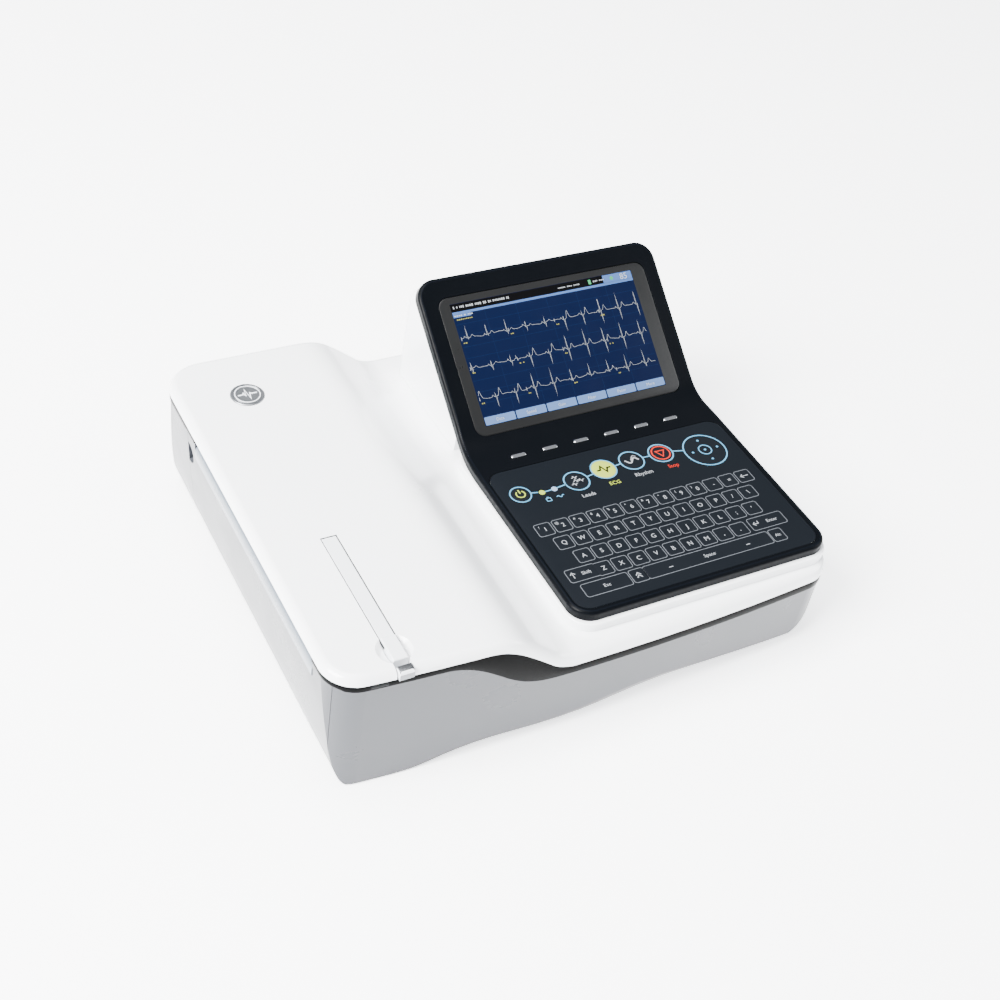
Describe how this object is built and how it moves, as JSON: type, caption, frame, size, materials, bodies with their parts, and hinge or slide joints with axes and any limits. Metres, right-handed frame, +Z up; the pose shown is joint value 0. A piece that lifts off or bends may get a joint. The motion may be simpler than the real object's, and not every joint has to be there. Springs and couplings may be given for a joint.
{
  "type": "ecg machine",
  "caption": "Portable ECG cart recorder with tilted colour display over a sealed keyboard, raised printer side with release lever, and a paper drawer that slides out to the left.",
  "frame": {"origin": "centre of the footprint, on the table", "axes": "+X to the device's right as its user sees it, +Y to the back, +Z up"},
  "size_m": [0.39, 0.33, 0.1634],
  "materials": {
    "shell_silver": "gloss",
    "band_black": "high gloss",
    "window_grey": "gloss",
    "shell_white": "gloss",
    "panel_black": "satin",
    "pcb": "satin",
    "film": "satin",
    "overlay": "matte, printed legends",
    "lens": "gloss, clear over the picture",
    "lcd": "gloss",
    "sheet_steel": "zinc plated",
    "badge": "satin",
    "lever_grey": "gloss",
    "pin_steel": "turned",
    "ledge_grey": "satin",
    "tray_grey": "satin",
    "paper": "matte",
    "stop_black": "satin",
    "roller_rubber": "ground",
    "gear_white": "satin",
    "bush_brass": "turned",
    "aluminium": "anodised",
    "head_ceramic": "glazed",
    "motor_black": "satin",
    "tin": "tin plated",
    "battery": "satin",
    "speaker": "matte",
    "panel_metal": "satin",
    "socket_black": "satin",
    "foot_rubber": "matte",
    "softkey_chrome": "polished"
  },
  "bodies": {
    "base": {"band_window": "window_grey", "base_shell": "shell_silver", "battery_door": "shell_silver", "battery_pack": "battery", "case_screws": "pin_steel", "console_bezel": "panel_black", "display_back_cover": "shell_white", "display_lens": "lens", "dome_sheet": "film", "earth_stud": "pin_steel", "feet": "foot_rubber", "front_side_plate": "sheet_steel", "head_beam": "sheet_steel", "head_heatsink": "aluminium", "idler_pin": "pin_steel", "inlet_pins": "pin_steel", "input_shield": "tin", "keypad_board": "pcb", "keypad_overlay": "overlay", "lcd_bracket": "sheet_steel", "lcd_panel": "lcd", "lever_pin": "pin_steel", "main_board": "pcb", "mains_inlet": "socket_black", "network_socket": "tin", "patient_socket": "tin", "power_supply": "tin", "print_head": "head_ceramic", "processor_heatsink": "aluminium", "rear_panel": "panel_metal", "rear_side_plate": "sheet_steel", "round_badge": "badge", "side_socket_frame": "socket_black", "softkey_board": "pcb", "speaker": "speaker", "stepper_motor": "motor_black", "top_shell": "shell_white", "trim_band": "band_black", "usb_sockets": "tin"},
    "drawer": {"drawer_front": "shell_silver", "exit_ledge": "ledge_grey", "tear_blade": "pin_steel", "paper_tray": "tray_grey", "paper_pack": "paper", "platen_bushes": "bush_brass"},
    "paper_stop": {"paper_stop": "stop_black"},
    "platen": {"platen_shaft": "pin_steel", "platen_rubber": "roller_rubber", "platen_gear": "gear_white"},
    "idler": {"idler_gear": "gear_white"},
    "rotor": {"motor_rotor": "pin_steel"},
    "lever": {"release_lever": "lever_grey"},
    "catch": {"catch_button": "lever_grey"},
    "softkey_1": {"softkey_1": "softkey_chrome"},
    "softkey_2": {"softkey_2": "softkey_chrome"},
    "softkey_3": {"softkey_3": "softkey_chrome"},
    "softkey_4": {"softkey_4": "softkey_chrome"},
    "softkey_5": {"softkey_5": "softkey_chrome"},
    "softkey_6": {"softkey_6": "softkey_chrome"}
  },
  "joints": [
    {"name": "drawer_slide", "type": "slide", "parent": "base", "child": "drawer", "axis": [-1, 0, 0], "range_m": [0, 0.15]},
    {"name": "paper_stop_slide", "type": "slide", "parent": "drawer", "child": "paper_stop", "axis": [0, 1, 0], "range_m": [0, 0.0056]},
    {"name": "platen_spin", "type": "hinge", "parent": "drawer", "child": "platen", "pos_m": [-0.173, -0.0192, 0.0844], "axis": [0, 1, 0], "continuous": true},
    {"name": "idler_spin", "type": "hinge", "parent": "base", "child": "idler", "pos_m": [-0.15435, 0.0958, 0.0844], "axis": [0, 1, 0], "continuous": true},
    {"name": "motor_spin", "type": "hinge", "parent": "base", "child": "rotor", "pos_m": [-0.14472, 0.1058, 0.07207], "axis": [0, 1, 0], "continuous": true},
    {"name": "lever_hinge", "type": "hinge", "parent": "base", "child": "lever", "pos_m": [-0.148, -0.0422, 0.0992], "axis": [-1, 0, 0], "range_deg": [0, 38]},
    {"name": "catch_slide", "type": "slide", "parent": "base", "child": "catch", "axis": [0, 1, 0], "range_m": [0, 0.002], "stiffness_N_per_m": 300},
    {"name": "softkey_1_press", "type": "slide", "parent": "base", "child": "softkey_1", "axis": [0, 0, -1], "range_m": [0, 0.0009], "stiffness_N_per_m": 600, "springref_m": -0.0004},
    {"name": "softkey_2_press", "type": "slide", "parent": "base", "child": "softkey_2", "axis": [0, 0, -1], "range_m": [0, 0.0009], "stiffness_N_per_m": 600, "springref_m": -0.0004},
    {"name": "softkey_3_press", "type": "slide", "parent": "base", "child": "softkey_3", "axis": [0, 0, -1], "range_m": [0, 0.0009], "stiffness_N_per_m": 600, "springref_m": -0.0004},
    {"name": "softkey_4_press", "type": "slide", "parent": "base", "child": "softkey_4", "axis": [0, 0, -1], "range_m": [0, 0.0009], "stiffness_N_per_m": 600, "springref_m": -0.0004},
    {"name": "softkey_5_press", "type": "slide", "parent": "base", "child": "softkey_5", "axis": [0, 0, -1], "range_m": [0, 0.0009], "stiffness_N_per_m": 600, "springref_m": -0.0004},
    {"name": "softkey_6_press", "type": "slide", "parent": "base", "child": "softkey_6", "axis": [0, 0, -1], "range_m": [0, 0.0009], "stiffness_N_per_m": 600, "springref_m": -0.0004}
  ],
  "couplings": [
    {"joint": "idler_spin", "follows": "platen_spin", "ratio": -0.55},
    {"joint": "motor_spin", "follows": "platen_spin", "ratio": 1.8333}
  ]
}
